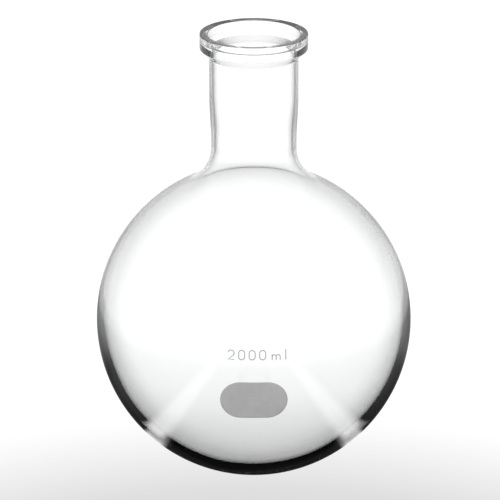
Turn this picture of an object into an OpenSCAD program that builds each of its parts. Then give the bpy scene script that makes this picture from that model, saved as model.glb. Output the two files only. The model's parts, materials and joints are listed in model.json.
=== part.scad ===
// Round bottom flask, 2000 ml, with a tooled mouth ring and a fired enamel marking.
// Millimetres, +Z up. The origin is the lowest point of the body, on the axis of the neck.
// The marking faces -Y.

/* [Body] */
// Outside diameter of the spherical body
body_d = 166; // [160:0.5:172]
// Wall of the body at its widest level
side_wall = 3.4; // [2.6:0.1:4]
// Wall of the body at its lowest point, where the glass is thickest
base_wall = 5.2; // [4:0.1:6]

/* [Neck] */
// Overall height, from the lowest point of the body to the top of the mouth ring
total_h = 240; // [238:0.5:250]
// Outside diameter of the neck
neck_d = 46.6; // [46:0.1:48]
// Bore of the neck
bore_d = 42.4; // [42:0.1:43]
// Outside diameter of the slight waist under the neck
waist_d = 44.8; // [44.2:0.1:45.4]
// Wall of the waist
waist_wall = 2.4; // [2:0.1:2.8]
// Outside radius of the curve that joins the neck to the body
shoulder_r = 22; // [18:0.5:24]

/* [Mouth ring] */
// Outside diameter of the mouth ring
ring_d = 56.6; // [55:0.1:58]
// Height of the upright side of the mouth ring
ring_side_h = 8.1; // [7:0.1:9]
// Diameter of the recess in the top of the ring
recess_d = 48; // [46:0.1:50]
// Depth of the recess, from the top of the ring to the mouth of the bore
recess_depth = 5; // [4:0.1:6]
// Slope of the land around the recess, falling towards it
land_slope = 6; // [2:0.5:10]
// Slope of the ledge in the recess, falling towards the bore
ledge_slope = 8; // [2:0.5:12]
// Slope of the underside of the ring, from level
underside_slope = 42; // [36:1:50]

/* [Marking] */
// Thickness of the fired enamel
enamel_t = 0.1; // [0.08:0.01:0.2]
// Width of the plain writing spot
spot_w = 34.8; // [28:0.2:40]
// Height of the writing spot
spot_h = 21; // [16:0.2:24]
// Height of the centre of the writing spot above the lowest point
spot_z = 66.7; // [60:0.1:70]
// Height of the numerals
numeral_h = 5.4; // [4:0.1:7]
// Width of one numeral
numeral_w = 3.6; // [3:0.1:4.4]
// Distance from one numeral to the next
numeral_pitch = 5.4; // [4.8:0.1:6]
// Width of the lines that the numerals are drawn with
stroke_w = 0.5; // [0.3:0.05:0.8]
// Height of the middle of the numerals above the lowest point
numeral_z = 92; // [86:0.1:96]

/* [Hidden] */

$fn = 180;
arc_steps = 10;
taper_steps = 8;

glass_tint = [0.86, 0.9, 0.91, 0.45];
enamel_grey = [0.69, 0.69, 0.69];

body_r = body_d / 2;
hollow_r = body_r - side_wall;
hollow_z = base_wall + hollow_r;
neck_r = neck_d / 2;
bore_r = bore_d / 2;
waist_r = waist_d / 2;
waist_bore_r = waist_r - waist_wall;

// The shoulder curve is an arc that touches the sphere and the waist. Its centre lies outside the glass.
shoulder_x = waist_r + shoulder_r;
shoulder_z = body_r + sqrt(pow(body_r + shoulder_r, 2) - pow(shoulder_x, 2));
hollow_shoulder_r = shoulder_r + waist_wall;
hollow_shoulder_z = hollow_z + sqrt(pow(hollow_r + hollow_shoulder_r, 2) - pow(shoulder_x, 2));
shoulder_tilt = atan2(shoulder_z - body_r, shoulder_x);
hollow_tilt = atan2(hollow_shoulder_z - hollow_z, shoulder_x);

// The body ends at the level where the hollow starts to turn into the neck.
body_top_z = hollow_z + hollow_r * sin(hollow_tilt);
body_top_tilt = asin((body_top_z - body_r) / body_r);

// The waist widens into the straight neck, outside and inside, just below the level where the neck node starts.
waist_straight_h = 2;
hollow_waist_straight_h = 3;
neck_start_h = 1;
neck_h = 18;
ring_node_h = 15;
neck_top_z = total_h - ring_node_h;
neck_base_z = neck_top_z - neck_h;
neck_full_z = neck_base_z - neck_start_h;
waist_top_z = shoulder_z + waist_straight_h;
hollow_waist_top_z = hollow_shoulder_z + hollow_waist_straight_h;

// The mouth ring, by the sharp corners of its profile and the radii that round them
ring_r = ring_d / 2;
ring_side_z = total_h - ring_side_h;
ring_root_z = ring_side_z - (ring_r - neck_r) * tan(underside_slope);
root_round_r = 2;
side_round_r = 1.2;
edge_round_r = 0.5;
mouth_round_r = 0.5;
recess_r = recess_d / 2;
mouth_z = total_h - recess_depth;
ring_corner_z = total_h + edge_round_r * (tan(land_slope) + 1 / cos(land_slope) - 1);
land_end_z = ring_corner_z - (ring_r - recess_r) * tan(land_slope);
ledge_end_z = mouth_z + (recess_r - bore_r) * tan(ledge_slope);

// The numerals and the unit stand in one row.
numeral_count = 4;
numeral_x = -11.7;
unit_m_x = 9.4;
unit_l_x = 16.1;
unit_m_w = 4.6;
unit_m_h = 3;
bow_start = 165;
bow_end = -35;
small_fn = 48;
cut_over = 1;

// Points on an arc in the plane of a profile, as radius and height
function arc(centre, r, from, to) =
    [for (i = [0:arc_steps]) centre + r * [cos(from + (to - from) * i / arc_steps),
                                           sin(from + (to - from) * i / arc_steps)]];

// The same arc without its first point, for a curve that carries on from another
function arc_on(centre, r, from, to) =
    [for (i = [1:arc_steps]) arc(centre, r, from, to)[i]];

// Points that round the corner b between a and c
function unit(v) = v / norm(v);
function short_turn(a) = a > 180 ? a - 360 : a < -180 ? a + 360 : a;
function corner(a, b, c, r) =
    let (u = unit(a - b), v = unit(c - b), half = acos(u * v) / 2)
    let (centre = b + unit(u + v) * r / sin(half), reach = r / tan(half))
    let (p = b + u * reach - centre, q = b + v * reach - centre)
    let (from = atan2(p[1], p[0]), turn = short_turn(atan2(q[1], q[0]) - from))
    arc(centre, r, from, from + turn);

// Points on a smooth taper between two radii, leaving out its first point
function taper(r_from, z_from, r_to, z_to) =
    [for (i = [1:taper_steps]) [r_from + (r_to - r_from) * (1 - cos(180 * i / taper_steps)) / 2,
                                z_from + (z_to - z_from) * i / taper_steps]];

// Outline of a line of the given width drawn along a path
function side_of(a, b) = [a[1] - b[1], b[0] - a[0]] / norm(b - a);
function side_at(path, i) =
    i == 0 ? side_of(path[0], path[1]) :
    i == len(path) - 1 ? side_of(path[i - 1], path[i]) :
    (side_of(path[i - 1], path[i]) + side_of(path[i], path[i + 1]))
        / (1 + side_of(path[i - 1], path[i]) * side_of(path[i], path[i + 1]));
function ribbon(path, w) =
    concat([for (i = [0:len(path) - 1]) path[i] + side_at(path, i) * w / 2],
           [for (i = [len(path) - 1:-1:0]) path[i] - side_at(path, i) * w / 2]);

// Spherical body, a shell whose hollow sits slightly high so that the base is thickest
module bulb() {
    color(glass_tint)
    difference() {
        translate([0, 0, body_r]) sphere(r = body_r);
        translate([0, 0, hollow_z]) sphere(r = hollow_r);
        translate([-body_r, -body_r, body_top_z]) cube([body_d, body_d, body_d]);
    }
}

// Shoulder: the curve from the body up through the waist to the straight neck
module shoulder() {
    outside = concat(
        arc([0, body_r], body_r, body_top_tilt, shoulder_tilt),
        arc_on([shoulder_x, shoulder_z], shoulder_r, 180 + shoulder_tilt, 180),
        [[waist_r, waist_top_z]],
        taper(waist_r, waist_top_z, neck_r, neck_full_z),
        [[neck_r, neck_base_z]]);
    hollow = concat(
        taper(bore_r, neck_base_z, waist_bore_r, hollow_waist_top_z),
        arc([shoulder_x, hollow_shoulder_z], hollow_shoulder_r, 180, 180 + hollow_tilt));
    color(glass_tint)
    rotate_extrude()
        polygon(concat(outside, [[bore_r, neck_base_z]], hollow));
}

// Straight neck, the part that a clamp holds
module neck() {
    color(glass_tint)
    translate([0, 0, neck_base_z])
    difference() {
        cylinder(r = neck_r, h = neck_h);
        translate([0, 0, -cut_over]) cylinder(r = bore_r, h = neck_h + 2 * cut_over);
    }
}

// Tooled ring around the mouth, with a land on top and a shallow recess that leads into the bore
module mouth_ring() {
    foot = [neck_r, neck_top_z];
    root = [neck_r, ring_root_z];
    side = [ring_r, ring_side_z];
    edge = [ring_r, ring_corner_z];
    land = [recess_r, land_end_z];
    ledge = [recess_r, ledge_end_z];
    mouth = [bore_r, mouth_z];
    bore_foot = [bore_r, neck_top_z];
    color(glass_tint)
    rotate_extrude()
        polygon(concat(
            [foot],
            corner(foot, root, side, root_round_r),
            corner(root, side, edge, side_round_r),
            corner(side, edge, land, edge_round_r),
            corner(edge, land, ledge, edge_round_r),
            corner(land, ledge, mouth, mouth_round_r),
            corner(ledge, mouth, bore_foot, mouth_round_r),
            [bore_foot]));
}

// Thin enamel on the front of the body, in the shape of the 2D children seen from the front
module enamel() {
    color(enamel_grey)
    intersection() {
        translate([0, 0, body_r])
        difference() {
            sphere(r = body_r + enamel_t);
            sphere(r = body_r);
        }
        rotate([90, 0, 0]) linear_extrude(height = body_r + cut_over) children();
    }
}

// Plain oval for writing on
module marking_spot() {
    end_x = (spot_w - spot_h) / 2;
    enamel()
    translate([0, spot_z]) {
        square([2 * end_x, spot_h], center = true);
        translate([-end_x, 0]) circle(d = spot_h);
        translate([end_x, 0]) circle(d = spot_h);
    }
}

// Upright oval of a zero, filled
module zero_disc(w, h) {
    square([w, h - w], center = true);
    translate([0, (h - w) / 2]) circle(d = w, $fn = small_fn);
    translate([0, (w - h) / 2]) circle(d = w, $fn = small_fn);
}

module zero() {
    difference() {
        zero_disc(numeral_w, numeral_h);
        zero_disc(numeral_w - 2 * stroke_w, numeral_h - 2 * stroke_w);
    }
}

// A two: a bow, a slanted stroke and a foot
module two() {
    bow_r = (numeral_w - stroke_w) / 2;
    bow_y = numeral_h / 2 - numeral_w / 2;
    foot_y = -(numeral_h - stroke_w) / 2;
    polygon(ribbon(concat(
        arc([0, bow_y], bow_r, bow_start, bow_end),
        [[-bow_r, foot_y], [bow_r, foot_y]]), stroke_w));
}

// Capacity in millilitres: a two and three zeros
module capacity_numerals() {
    enamel()
    translate([numeral_x, numeral_z]) {
        two();
        for (i = [1:numeral_count - 1])
            translate([i * numeral_pitch, 0]) zero();
    }
}

// One leg of the letter m with the arch that springs from the leg on its left
module m_arch(w) {
    arch_r = w / 2;
    polygon(ribbon(concat(
        arc([arch_r, unit_m_h - arch_r - stroke_w / 2], arch_r, 180, 0),
        [[w, 0]]), stroke_w));
}

// The unit of the capacity
module capacity_unit() {
    arch_w = (unit_m_w - stroke_w) / 2;
    enamel()
    translate([unit_m_x, numeral_z - numeral_h / 2]) {
        translate([-stroke_w / 2, 0]) square([stroke_w, unit_m_h]);
        m_arch(arch_w);
        translate([arch_w, 0]) m_arch(arch_w);
        translate([unit_l_x - unit_m_x, 0]) square([stroke_w, numeral_h]);
    }
}

bulb();
shoulder();
neck();
mouth_ring();
marking_spot();
capacity_numerals();
capacity_unit();
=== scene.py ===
import json
import math

import bmesh
import bpy
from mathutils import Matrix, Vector, noise

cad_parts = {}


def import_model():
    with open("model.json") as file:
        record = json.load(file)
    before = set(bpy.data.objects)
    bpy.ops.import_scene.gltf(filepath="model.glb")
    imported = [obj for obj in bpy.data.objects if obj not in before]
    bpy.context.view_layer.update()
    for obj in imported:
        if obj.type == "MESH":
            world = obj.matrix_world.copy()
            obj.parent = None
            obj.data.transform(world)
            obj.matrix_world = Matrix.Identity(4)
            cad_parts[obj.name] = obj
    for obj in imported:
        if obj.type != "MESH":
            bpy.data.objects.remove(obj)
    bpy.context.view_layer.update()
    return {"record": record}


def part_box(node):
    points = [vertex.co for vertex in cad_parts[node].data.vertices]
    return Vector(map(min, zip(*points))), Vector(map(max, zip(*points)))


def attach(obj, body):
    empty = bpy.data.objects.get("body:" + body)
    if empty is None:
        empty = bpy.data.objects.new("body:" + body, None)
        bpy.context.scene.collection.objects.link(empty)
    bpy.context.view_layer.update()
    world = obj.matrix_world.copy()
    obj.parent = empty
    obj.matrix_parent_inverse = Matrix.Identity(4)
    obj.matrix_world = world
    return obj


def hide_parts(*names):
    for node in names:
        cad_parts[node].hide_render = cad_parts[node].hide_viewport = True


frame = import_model()
mounts = {m["name"]: m for m in frame["record"]["mounts"]}
MM = 0.001

# ---- driving dimensions, in metres, the same as the CAD model's ----
BODY_R = mounts["bulb_seat"]["dims"]["r_mm"] * MM
NECK_R = mounts["neck_clamp"]["dims"]["r_mm"] * MM
BORE_R = mounts["mouth_bore"]["dims"]["r_mm"] * MM
TOTAL_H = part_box("mouth_ring")[1].z
NECK_BASE_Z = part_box("neck")[0].z
SIDE_WALL = 3.4 * MM
BASE_WALL = 5.2 * MM
WAIST_R = 22.4 * MM
WAIST_WALL = 2.4 * MM
SHOULDER_R = 22.0 * MM
WAIST_STRAIGHT = 2.0 * MM
HOLLOW_WAIST_STRAIGHT = 3.0 * MM
NECK_START = 1.0 * MM
RING_R = 28.3 * MM
RING_SIDE_H = 8.1 * MM
UNDERSIDE_SLOPE = math.radians(42)
RECESS_R = 24.0 * MM
RECESS_DEPTH = 5.0 * MM
LAND_SLOPE = math.radians(6)
LEDGE_SLOPE = math.radians(8)
ROOT_ROUND_R = 2.0 * MM
SIDE_ROUND_R = 1.2 * MM
EDGE_ROUND_R = 0.5 * MM
MOUTH_ROUND_R = 0.5 * MM

# ---- fineness of the glass mesh ----
SEGMENTS = 256
SPHERE_STEPS = 96
SHOULDER_STEPS = 20
ROUND_STEPS = 14
LINE_STEP = 2.0 * MM
FILL_GAP = 1.5 * LINE_STEP
SAME_POINT = 1e-7


# ---- profile helpers: all of them give lists of flat points ----
def arc(centre, r, start, end, steps):
    """Points on an arc; angles in radians."""
    spread = [start + (end - start) * i / steps for i in range(steps + 1)]
    return [(centre[0] + r * math.cos(a), centre[1] + r * math.sin(a)) for a in spread]


def line(a, b):
    """Points on the straight from a to b, without its two ends."""
    steps = max(1, round(math.dist(a, b) / LINE_STEP))
    return [(a[0] + (b[0] - a[0]) * i / steps, a[1] + (b[1] - a[1]) * i / steps) for i in range(1, steps)]


def corner(a, b, c, r):
    """Points that round the corner b between a and c."""
    a, b, c = Vector(a), Vector(b), Vector(c)
    u, v = (a - b).normalized(), (c - b).normalized()
    half = u.angle(v) / 2
    centre = b + (u + v).normalized() * r / math.sin(half)
    p = b + u * r / math.tan(half) - centre
    q = b + v * r / math.tan(half) - centre
    start = math.atan2(p.y, p.x)
    turn = (math.atan2(q.y, q.x) - start + math.pi) % (2 * math.pi) - math.pi
    return arc(centre, r, start, start + turn, ROUND_STEPS)


def taper(a, b):
    """Points on a smooth taper between two levels, both ends included."""
    ease = [(1 - math.cos(math.pi * i / ROUND_STEPS)) / 2 for i in range(ROUND_STEPS + 1)]
    rise = (b[1] - a[1]) / ROUND_STEPS
    return [(a[0] + (b[0] - a[0]) * e, a[1] + rise * i) for i, e in enumerate(ease)]


def joined(*runs):
    """One list of points, with straights filled in and repeats left out."""
    out = [runs[0][0]]
    for p in (p for run in runs for p in run):
        gap = math.dist(out[-1], p)
        if gap < SAME_POINT:
            continue
        if gap > FILL_GAP:
            out += line(out[-1], p)
        out.append(p)
    return out


def mesh_object(name, bm):
    """A smooth-shaded object from a bmesh, with its faces turned outwards."""
    bmesh.ops.recalc_face_normals(bm, faces=bm.faces)
    mesh = bpy.data.meshes.new(name)
    bm.to_mesh(mesh)
    bm.free()
    for face in mesh.polygons:
        face.use_smooth = True
    obj = bpy.data.objects.new(name, mesh)
    bpy.context.scene.collection.objects.link(obj)
    return obj


# ---- the glass vessel, as one closed profile ----
def flask_profile():
    """(outside, inside) points as (radius, height): from the bottom pole up over the land of the mouth ring,
    then from its recess down to the bottom of the hollow."""
    hollow_r = BODY_R - SIDE_WALL
    hollow_z = BASE_WALL + hollow_r
    turn_x = WAIST_R + SHOULDER_R
    turn_z = BODY_R + math.sqrt((BODY_R + SHOULDER_R) ** 2 - turn_x ** 2)
    turn_tilt = math.atan2(turn_z - BODY_R, turn_x)
    inner_turn_r = SHOULDER_R + WAIST_WALL
    inner_turn_z = hollow_z + math.sqrt((hollow_r + inner_turn_r) ** 2 - turn_x ** 2)
    inner_tilt = math.atan2(inner_turn_z - hollow_z, turn_x)
    waist_top = (WAIST_R, turn_z + WAIST_STRAIGHT)
    inner_waist = (WAIST_R - WAIST_WALL, inner_turn_z + HOLLOW_WAIST_STRAIGHT)
    neck_foot = (NECK_R, NECK_BASE_Z - NECK_START)
    side_z = TOTAL_H - RING_SIDE_H
    root_z = side_z - (RING_R - NECK_R) * math.tan(UNDERSIDE_SLOPE)
    edge_z = TOTAL_H + EDGE_ROUND_R * (math.tan(LAND_SLOPE) + 1 / math.cos(LAND_SLOPE) - 1)
    land_z = edge_z - (RING_R - RECESS_R) * math.tan(LAND_SLOPE)
    mouth_z = TOTAL_H - RECESS_DEPTH
    ledge_z = mouth_z + (RECESS_R - BORE_R) * math.tan(LEDGE_SLOPE)
    root, side, edge = (NECK_R, root_z), (RING_R, side_z), (RING_R, edge_z)
    land, ledge = (RECESS_R, land_z), (RECESS_R, ledge_z)
    mouth, bore = (BORE_R, mouth_z), (BORE_R, NECK_BASE_Z)
    down = -math.pi / 2
    outside = joined(
        arc((0, BODY_R), BODY_R, down, turn_tilt, SPHERE_STEPS),
        arc((turn_x, turn_z), SHOULDER_R, math.pi + turn_tilt, math.pi, SHOULDER_STEPS),
        taper(waist_top, neck_foot),
        corner(neck_foot, root, side, ROOT_ROUND_R),
        corner(root, side, edge, SIDE_ROUND_R),
        corner(side, edge, land, EDGE_ROUND_R),
        corner(edge, land, ledge, EDGE_ROUND_R),
    )
    inside = joined(
        corner(land, ledge, mouth, MOUTH_ROUND_R),
        corner(ledge, mouth, bore, MOUTH_ROUND_R),
        taper(bore, inner_waist),
        arc((turn_x, inner_turn_z), inner_turn_r, math.pi, math.pi + inner_tilt, SHOULDER_STEPS),
        arc((0, hollow_z), hollow_r, inner_tilt, down, SPHERE_STEPS),
    )
    return outside, inside


WAVE = 0.10 * MM
WAVE_LENGTH = 30.0 * MM
WAVE_SEED = Vector((3.1, 7.7, 1.9))


def blown(point):
    """How far the slight unevenness of blown glass moves a point of the inner wall from the axis."""
    return WAVE * noise.noise(Vector(point) / WAVE_LENGTH + WAVE_SEED)


def lathe(name, outside, inside):
    """Closed mesh spun from the profile; its first and last points are on the axis."""
    points = joined(outside, inside)
    waved_from = len(outside)
    poles = (0, len(points) - 1)
    bm = bmesh.new()
    rings = []
    for i, (r, z) in enumerate(points):
        if i in poles:
            rings.append([bm.verts.new((0, 0, z))])
            continue
        ring = []
        for k in range(SEGMENTS):
            a = 2 * math.pi * k / SEGMENTS
            shift = blown((r * math.cos(a), r * math.sin(a), z)) if i > waved_from else 0
            ring.append(bm.verts.new(((r + shift) * math.cos(a), (r + shift) * math.sin(a), z)))
        rings.append(ring)
    for lower, upper in zip(rings, rings[1:]):
        for k in range(SEGMENTS):
            n = (k + 1) % SEGMENTS
            if len(lower) == 1:
                bm.faces.new((lower[0], upper[n], upper[k]))
            elif len(upper) == 1:
                bm.faces.new((lower[k], lower[n], upper[0]))
            else:
                bm.faces.new((lower[k], lower[n], upper[n], upper[k]))
    return mesh_object(name, bm)


# ---- shader node helpers ----
def grey(value):
    return value, value, value, 1


def new_material(name):
    """An empty node material, as (material, nodes)."""
    mat = bpy.data.materials.new(name)
    mat.use_nodes = True
    mat.node_tree.nodes.clear()
    return mat, mat.node_tree.nodes


def add(nodes, kind, inputs, **settings):
    """A new shader node with those settings; each input is given a value, or a socket to link to."""
    made = nodes.new("ShaderNode" + kind)
    for name, value in settings.items():
        setattr(made, name, value)
    for name, value in inputs.items():
        if isinstance(value, bpy.types.NodeSocket):
            nodes.id_data.links.new(value, made.inputs[name])
        else:
            made.inputs[name].default_value = value
    return made


def computed(nodes, operation, *values):
    """The result of one Math node."""
    return add(nodes, "Math", dict(enumerate(values)), operation=operation).outputs["Value"]


def mixed(nodes, fac, first, second, blend="MIX"):
    """A colour mixed by fac from two others."""
    inputs = {"Fac": fac, "Color1": first, "Color2": second}
    return add(nodes, "MixRGB", inputs, blend_type=blend).outputs["Color"]


def grey_ramp(nodes, fac, stops, reach=1.0):
    """Greys along fac, from stops (place, grey); the first place is 0 and the last is reach."""
    ramp = add(nodes, "ValToRGB", {"Fac": fac})
    elements = ramp.color_ramp.elements
    elements[0].color = grey(stops[0][1])
    elements[1].color = grey(stops[-1][1])
    for place, value in stops[1:-1]:
        elements.new(place / reach).color = grey(value)
    return ramp.outputs["Color"]


# ---- glass ----
WHITE = grey(1)
GLASS_IOR = 1.473
GLASS_SPECULAR = 0.5
GLASS_TINT = (0.975, 0.985, 0.985, 1)
GLASS_ROUGHEST = 0.012
RIPPLE_SCALE = 38.0
RIPPLE_DETAIL = 2.0
RIPPLE_STRENGTH = 0.03
RIPPLE_DEPTH = 0.5 * MM
EVEN_BLEND = 0.5

# Painted shade: grey by how far the surface turns away from the path of the light, on the inside of the
# glass, painted into its colour to give dark edge lines.
BODY_SHADE = ((0.0, 1.0), (0.17, 1.0), (0.183, 0.97), (0.209, 0.87), (0.233, 0.75), (0.252, 0.73),
              (0.261, 0.45), (0.268, 0.5), (0.28, 1.0), (1.0, 1.0))
NECK_SHADE = ((0.0, 1.0), (0.17, 1.0), (0.21, 0.88), (0.235, 0.74), (0.248, 0.60), (0.258, 0.45),
              (0.2635, 0.25), (0.274, 0.23), (0.286, 0.5), (0.298, 0.85), (0.31, 1.0), (1.0, 1.0))
BODY_SHADE_TOP_Z = 0.164
NECK_SHADE_BASE_Z = 0.178


def painted_edge_shade(nodes, coords):
    """Two greys of painted shade where light inside the wall meets its surface near the critical angle, to
    give dark lines like those at the edges of thick glass:
    one for the whole vessel, and one for the neck alone, where the wall is thin."""
    facing = add(nodes, "LayerWeight", {"Blend": EVEN_BLEND}).outputs["Facing"]
    inside = add(nodes, "NewGeometry", {}).outputs["Backfacing"]
    height = add(nodes, "SeparateXYZ", {"Vector": coords}).outputs["Z"]
    span = {"Value": height, "From Min": BODY_SHADE_TOP_Z, "From Max": NECK_SHADE_BASE_Z}
    up = add(nodes, "MapRange", span).outputs["Result"]
    body = grey_ramp(nodes, facing, BODY_SHADE)
    neck = grey_ramp(nodes, facing, NECK_SHADE)
    whole = mixed(nodes, up, body, neck)
    neck_only = mixed(nodes, up, WHITE, neck)
    return mixed(nodes, inside, WHITE, whole), mixed(nodes, inside, WHITE, neck_only)


def glass_material():
    """Clear borosilicate glass, with faint ripples from blowing."""
    mat, nodes = new_material("clear_glass")
    coords = add(nodes, "TexCoord", {}).outputs["Object"]
    pattern = {"Vector": coords, "Scale": RIPPLE_SCALE, "Detail": RIPPLE_DETAIL}
    ripples = add(nodes, "TexNoise", pattern).outputs["Fac"]
    tint = add(nodes, "ValToRGB", {"Fac": ripples})
    tint.color_ramp.elements[0].color = GLASS_TINT
    tint.color_ramp.elements[1].color = WHITE
    rough = add(nodes, "MapRange", {"Value": ripples, "To Min": 0.0, "To Max": GLASS_ROUGHEST})
    bump = add(nodes, "Bump", {"Height": ripples, "Strength": RIPPLE_STRENGTH, "Distance": RIPPLE_DEPTH})
    edge, clear = painted_edge_shade(nodes, coords)
    # Painted shade: the edge greys darken the base colour, and in the neck also the transmission weight.
    shader = add(nodes, "BsdfPrincipled", {
        "Base Color": mixed(nodes, 1.0, tint.outputs["Color"], edge, "MULTIPLY"),
        "Transmission Weight": clear,
        "Roughness": rough.outputs["Result"],
        "Normal": bump.outputs["Normal"],
        "IOR": GLASS_IOR,
        "Specular IOR Level": GLASS_SPECULAR,
    })
    add(nodes, "OutputMaterial", {"Surface": shader.outputs["BSDF"]})
    return mat


# ---- enamel ----
CLOUD_SCALE = 90.0
CLOUD_DETAIL = 3.0
SPECK_DETAIL = 4.0
MOTTLE_LOW, MOTTLE_HIGH = 0.7, 1.3
SATIN_LOW, SATIN_HIGH = 0.42, 0.62
GRAIN_STRENGTH = 0.25
GRAIN_DEPTH = 0.03 * MM


def enamel_material(name, dark, light, grain):
    """Fired enamel: grey with soft clouds and fine specks, satin."""
    mat, nodes = new_material(name)
    coords = add(nodes, "TexCoord", {}).outputs["Object"]
    soft = {"Vector": coords, "Scale": CLOUD_SCALE, "Detail": CLOUD_DETAIL}
    fine = {"Vector": coords, "Scale": grain, "Detail": SPECK_DETAIL}
    clouds = add(nodes, "TexNoise", soft).outputs["Fac"]
    specks = add(nodes, "TexNoise", fine).outputs["Fac"]
    span = {"Value": computed(nodes, "ADD", clouds, specks), "From Min": MOTTLE_LOW, "From Max": MOTTLE_HIGH}
    mottle = add(nodes, "MapRange", span).outputs["Result"]
    rough = add(nodes, "MapRange", {"Value": specks, "To Min": SATIN_LOW, "To Max": SATIN_HIGH})
    bump = add(nodes, "Bump", {"Height": specks, "Strength": GRAIN_STRENGTH, "Distance": GRAIN_DEPTH})
    shader = add(nodes, "BsdfPrincipled", {
        "Base Color": grey_ramp(nodes, mottle, ((0.0, dark), (1.0, light))),
        "Roughness": rough.outputs["Result"],
        "Normal": bump.outputs["Normal"],
    })
    add(nodes, "OutputMaterial", {"Surface": shader.outputs["BSDF"]})
    return mat


# ---- the enamel marking, laid on the front of the body ----
ENAMEL_UNDER = 0.03 * MM
ENAMEL_OVER = 0.10 * MM
STROKE_W = 0.5 * MM
STROKE_RIM = 0.02 * MM
STROKE_CREST = 0.6
SPOT_RIM = 0.35
SPOT_RINGS = 14
SPOT_STEPS = 24


def on_body(x, z, lift):
    """The point of the body's front at that place as seen from -Y, moved out by lift."""
    flat = Vector((x, -math.sqrt(BODY_R ** 2 - x ** 2 - (z - BODY_R) ** 2), z - BODY_R))
    return flat * (BODY_R + lift) / BODY_R + Vector((0, 0, BODY_R))


def add_layer(bm, outline, centre, lift, rim_lift):
    """One skin of a patch, as its outer loop; it fills the outline, and is at rim_lift on its edge."""
    middle = bm.verts.new(on_body(*centre, lift))
    count = len(outline)
    inner = None
    for i in range(1, SPOT_RINGS + 1):
        t = i / SPOT_RINGS
        spots = [(centre[0] + (x - centre[0]) * t, centre[1] + (z - centre[1]) * t) for x, z in outline]
        outer = [bm.verts.new(on_body(x, z, rim_lift if i == SPOT_RINGS else lift)) for x, z in spots]
        for k in range(count):
            n = (k + 1) % count
            if inner:
                bm.faces.new((inner[k], outer[k], outer[n], inner[n]))
            else:
                bm.faces.new((middle, outer[k], outer[n]))
        inner = outer
    return inner


def add_patch(bm, outline, centre):
    """A thin solid on the body with that outline, raised to a soft edge."""
    upper = add_layer(bm, outline, centre, ENAMEL_OVER, ENAMEL_OVER * SPOT_RIM)
    lower = add_layer(bm, outline, centre, -ENAMEL_UNDER, -ENAMEL_UNDER)
    for k in range(len(outline)):
        n = (k + 1) % len(outline)
        bm.faces.new((upper[k], lower[k], lower[n], upper[n]))


def add_stroke(bm, path, closed=False):
    """A thin line of enamel along a path on the body's front."""
    count = len(path)
    shape = ((-1, -ENAMEL_UNDER), (-1, STROKE_RIM), (-STROKE_CREST, ENAMEL_OVER),
             (STROKE_CREST, ENAMEL_OVER), (1, STROKE_RIM), (1, -ENAMEL_UNDER))
    sections = []
    for i, (x, z) in enumerate(path):
        before = path[(i - 1) % count] if closed or i > 0 else path[i]
        after = path[(i + 1) % count] if closed or i < count - 1 else path[i]
        along = Vector((after[0] - before[0], after[1] - before[1])).normalized()
        side = Vector((-along.y, along.x)) * STROKE_W / 2
        sections.append([bm.verts.new(on_body(x + side.x * s, z + side.y * s, h)) for s, h in shape])
    pairs = list(zip(sections, sections[1:]))
    if closed:
        pairs.append((sections[-1], sections[0]))
    else:
        bm.faces.new(sections[0])
        bm.faces.new(sections[-1])
    for a, b in pairs:
        for k in range(len(a)):
            n = (k + 1) % len(a)
            bm.faces.new((a[k], a[n], b[n], b[k]))


def oval(centre, w, h, steps):
    """Outline of a stadium shape, with its straights filled in."""
    r = min(w, h) / 2
    dx, dz = w / 2 - r, h / 2 - r
    points = []
    for side_x, side_z, start in ((1, 1, 0), (-1, 1, 90), (-1, -1, 180), (1, -1, 270)):
        middle = (centre[0] + side_x * dx, centre[1] + side_z * dz)
        points += arc(middle, r, math.radians(start), math.radians(start + 90), steps)
    out = []
    for p, q in zip(points, points[1:] + points[:1]):
        if math.dist(p, q) > SAME_POINT:
            out += [p] + line(p, q)
    return out


def writing_spot():
    low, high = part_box("marking_spot")
    centre = ((low.x + high.x) / 2, (low.z + high.z) / 2)
    bm = bmesh.new()
    add_patch(bm, oval(centre, high.x - low.x, high.z - low.z, SPOT_STEPS), centre)
    return mesh_object("writing_spot", bm)


NUMERAL_W = 3.6 * MM
NUMERAL_PITCH = 5.4 * MM
ZEROS = 3
ZERO_STEPS = 8
BOW_START, BOW_END = math.radians(165), math.radians(-35)
BOW_STEPS = 16


def numerals():
    """The number 2000: three zeros, and a two to the left of them."""
    low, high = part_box("capacity_numerals")
    mid_z = (low.z + high.z) / 2
    tall = high.z - low.z
    right_x = high.x - NUMERAL_W / 2
    bm = bmesh.new()
    for i in range(ZEROS):
        centre = (right_x - i * NUMERAL_PITCH, mid_z)
        add_stroke(bm, oval(centre, NUMERAL_W - STROKE_W, tall - STROKE_W, ZERO_STEPS), closed=True)
    two_x = right_x - ZEROS * NUMERAL_PITCH
    bow_r = (NUMERAL_W - STROKE_W) / 2
    foot_z = mid_z - (tall - STROKE_W) / 2
    bow = arc((two_x, mid_z + (tall - NUMERAL_W) / 2), bow_r, BOW_START, BOW_END, BOW_STEPS)
    add_stroke(bm, bow + [(two_x - bow_r, foot_z), (two_x + bow_r, foot_z)])
    return mesh_object("numerals", bm)


UNIT_M_W = 4.6 * MM
UNIT_M_H = 3.0 * MM
ARCHES = 2
ARCH_STEPS = 10


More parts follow.
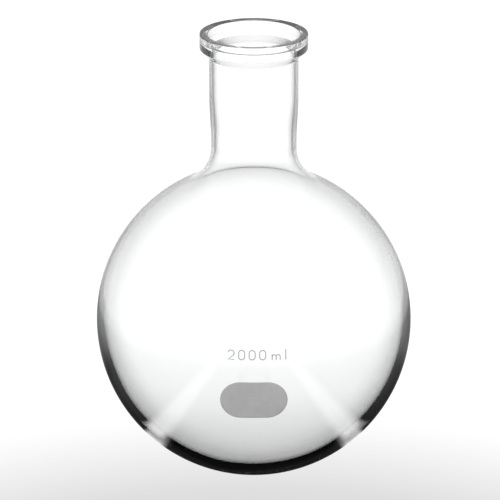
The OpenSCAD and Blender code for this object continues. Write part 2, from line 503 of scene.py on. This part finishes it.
def unit_letters():
    """The letters ml: a stem with two arches, and a tall stem."""
    low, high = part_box("capacity_unit")
    bm = bmesh.new()
    left = low.x + STROKE_W / 2
    arch_r = (UNIT_M_W - STROKE_W) / 4
    top = low.z + UNIT_M_H
    add_stroke(bm, [(left, low.z), (left, low.z + UNIT_M_H / 2), (left, top)])
    for i in range(ARCHES):
        spring = left + 2 * arch_r * i
        arch = arc((spring + arch_r, top - arch_r - STROKE_W / 2), arch_r, math.pi, 0, ARCH_STEPS)
        add_stroke(bm, arch + [(spring + 2 * arch_r, low.z)])
    tall_x = high.x - STROKE_W / 2
    add_stroke(bm, [(tall_x, low.z), (tall_x, (low.z + high.z) / 2), (tall_x, high.z)])
    return mesh_object("unit_letters", bm)


# ---- the flask ----
SPOT_DARK, SPOT_LIGHT, SPOT_GRAIN = 0.36, 0.44, 1400.0
MARK_DARK, MARK_LIGHT, MARK_GRAIN = 0.34, 0.42, 2200.0


def dressed(obj, mat, slot, *nodes):
    """Gives the piece its material, and puts it in place of the CAD nodes; the slot is not used."""
    obj.data.materials.append(mat)
    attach(obj, "root")
    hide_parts(*nodes)
    return obj


glass = dressed(lathe("flask_glass", *flask_profile()), glass_material(), "clear_glass",
                "bulb", "shoulder", "neck", "mouth_ring")
glass.visible_shadow = False
spot_grey = enamel_material("spot_enamel", SPOT_DARK, SPOT_LIGHT, SPOT_GRAIN)
mark_grey = enamel_material("mark_enamel", MARK_DARK, MARK_LIGHT, MARK_GRAIN)
dressed(writing_spot(), spot_grey, "spot_enamel", "marking_spot")
dressed(numerals(), mark_grey, "mark_enamel", "capacity_numerals")
dressed(unit_letters(), mark_grey, "mark_enamel", "capacity_unit")

# ---- stage: a pale floor below the held flask and a pale surround, which both give light, with painted shadow, painted shade and painted reflections ----
FLOOR_Z = -0.10
FLOOR_SIZE = 40.0
FLOOR_CELLS = 4
FLOOR_WHITE = 1.13
WORLD_WHITE = 1.05
# Painted shade: the surround's grey as seen mirrored in the glass wall, and the near black after more
# bounces.
WORLD_MIRRORED_PAINTED_SHADE = 0.9
TRAPPED_PAINTED_SHADE = 0.02

# The floor's brightness by distance in metres from below the flask: as it is seen straight, with a painted
# shadow darker towards the point below the flask, and as it is seen once mirrored in the glass wall, with
# painted shade near black close below the flask that darkens the glass's edges.
RAMP_REACH = 2.0
DIRECT_PAINTED_SHADOW_STOPS = ((0.0, 0.50), (0.22, 0.66), (0.33, 0.88), (0.52, 1.0), (RAMP_REACH, 1.0))
MIRRORED_PAINTED_SHADE_STOPS = ((0.0, 0.0), (0.12, 0.0), (0.20, 0.03), (0.36, 0.07), (0.45, 0.21), (0.55, 0.27),
              (0.65, 0.35), (0.76, 0.85), (RAMP_REACH, 0.92))

# The painted reflection stripes' brightness by direction, in half turns from straight ahead.
STRIPE_FROM_Y = 0.515
PAINTED_REFLECTION_STOPS = ((0.0, 0.0), (0.070, 0.0), (0.078, 0.95), (0.094, 0.95), (0.102, 0.0), (1.0, 0.0))

# Counts of refractions and reflections, between whole numbers.
NEAR_SIDE = 2.5
ONCE, TWICE = 0.5, 1.5


def wall_bounces(nodes, least):
    """1 for light mirrored more than least times inside the glass wall without crossing the hollow."""
    path = add(nodes, "LightPath", {})
    mirrored = computed(nodes, "GREATER_THAN", path.outputs["Glossy Depth"], least)
    near = computed(nodes, "LESS_THAN", path.outputs["Transmission Depth"], NEAR_SIDE)
    return computed(nodes, "MULTIPLY", mirrored, near)


def seen_in_wall(nodes, straight, mirrored):
    """The colour that light finds: straight for most of it, mirrored after one bounce in the glass wall,
    and nearly black after more; the mirrored and nearly black colours are painted shade that darkens the
    glass's edges."""
    once = mixed(nodes, wall_bounces(nodes, ONCE), straight, mirrored)
    return mixed(nodes, wall_bounces(nodes, TWICE), once, grey(TRAPPED_PAINTED_SHADE))


def stripes(nodes, place):
    """Painted reflection: two white stripes on the floor, seen only where the glass wall mirrors it, that
    spread to the front from a point behind the flask.
    """
    shift = add(nodes, "VectorMath", {0: place, 1: (0, STRIPE_FROM_Y, 0)}, operation="SUBTRACT")
    split = add(nodes, "SeparateXYZ", {"Vector": shift.outputs["Vector"]})
    across = computed(nodes, "ABSOLUTE", split.outputs["X"])
    forward = computed(nodes, "MULTIPLY", split.outputs["Y"], -1.0)
    half_turns = computed(nodes, "DIVIDE", computed(nodes, "ARCTAN2", across, forward), math.pi)
    return grey_ramp(nodes, half_turns, PAINTED_REFLECTION_STOPS)


def floor_material():
    """A pale floor that gives its own light, with painted shadow below the flask, painted shade where the
    glass wall mirrors it, and painted reflection stripes there.
    """
    mat, nodes = new_material("pale_floor")
    place = add(nodes, "NewGeometry", {}).outputs["Position"]
    scale = (1 / RAMP_REACH, 1 / RAMP_REACH, 0)
    flat = add(nodes, "VectorMath", {0: place, 1: scale}, operation="MULTIPLY").outputs["Vector"]
    reach = add(nodes, "VectorMath", {0: flat}, operation="LENGTH").outputs["Value"]
    # Painted shadow: the floor seen straight is darker towards the point below the flask.
    direct = grey_ramp(nodes, reach, DIRECT_PAINTED_SHADOW_STOPS, RAMP_REACH)
    # Painted shade: the floor seen mirrored in the glass wall is near black close below the flask.
    edge = grey_ramp(nodes, reach, MIRRORED_PAINTED_SHADE_STOPS, RAMP_REACH)
    # Painted reflection: the stripes lighten the floor only as seen mirrored in the glass wall.
    mirrored_painted_shade_and_reflections = mixed(nodes, 1.0, edge, stripes(nodes, place), "LIGHTEN")
    glow = add(nodes, "Emission", {"Color": seen_in_wall(nodes, direct, mirrored_painted_shade_and_reflections), "Strength": FLOOR_WHITE})
    add(nodes, "OutputMaterial", {"Surface": glow.outputs["Emission"]})
    return mat


def floor():
    bm = bmesh.new()
    bmesh.ops.create_grid(bm, x_segments=FLOOR_CELLS, y_segments=FLOOR_CELLS, size=FLOOR_SIZE / 2)
    obj = mesh_object("floor", bm)
    obj.location.z = FLOOR_Z
    obj.data.materials.append(floor_material())


def world():
    sky = bpy.data.worlds.new("studio")
    bpy.context.scene.world = sky
    sky.use_nodes = True
    nodes = sky.node_tree.nodes
    # Painted shade: the surround is a little darker where the glass wall mirrors it, and nearly black after
    # more bounces.
    colour = seen_in_wall(nodes, grey(WORLD_WHITE), grey(WORLD_MIRRORED_PAINTED_SHADE))
    sky.node_tree.links.new(colour, nodes["Background"].inputs["Color"])


# ---- camera: in front, a little above, with a long lens ----
CAMERA_BACK = 2.5
CAMERA_ABOVE = 0.887
CAMERA_LENS = 361.0
SENSOR = 36.0
AIM_Z = 0.121
SIDE_STEP = -0.002


def camera():
    data = bpy.data.cameras.new("camera")
    data.lens = CAMERA_LENS
    data.sensor_width = SENSOR
    obj = bpy.data.objects.new("camera", data)
    bpy.context.scene.collection.objects.link(obj)
    obj.location = (SIDE_STEP, -CAMERA_BACK, BODY_R + CAMERA_ABOVE)
    aim = Vector((SIDE_STEP, 0, AIM_Z)) - obj.location
    obj.rotation_euler = aim.to_track_quat("-Z", "Y").to_euler()
    bpy.context.scene.camera = obj


LIGHT_BOUNCES = 24


def render_look():
    """Plain colours, and enough bounces for light to get through all the glass."""
    scene = bpy.context.scene
    scene.view_settings.view_transform = "Standard"
    scene.cycles.max_bounces = LIGHT_BOUNCES
    scene.cycles.transmission_bounces = LIGHT_BOUNCES
    scene.cycles.glossy_bounces = LIGHT_BOUNCES


floor()
world()
camera()
render_look()
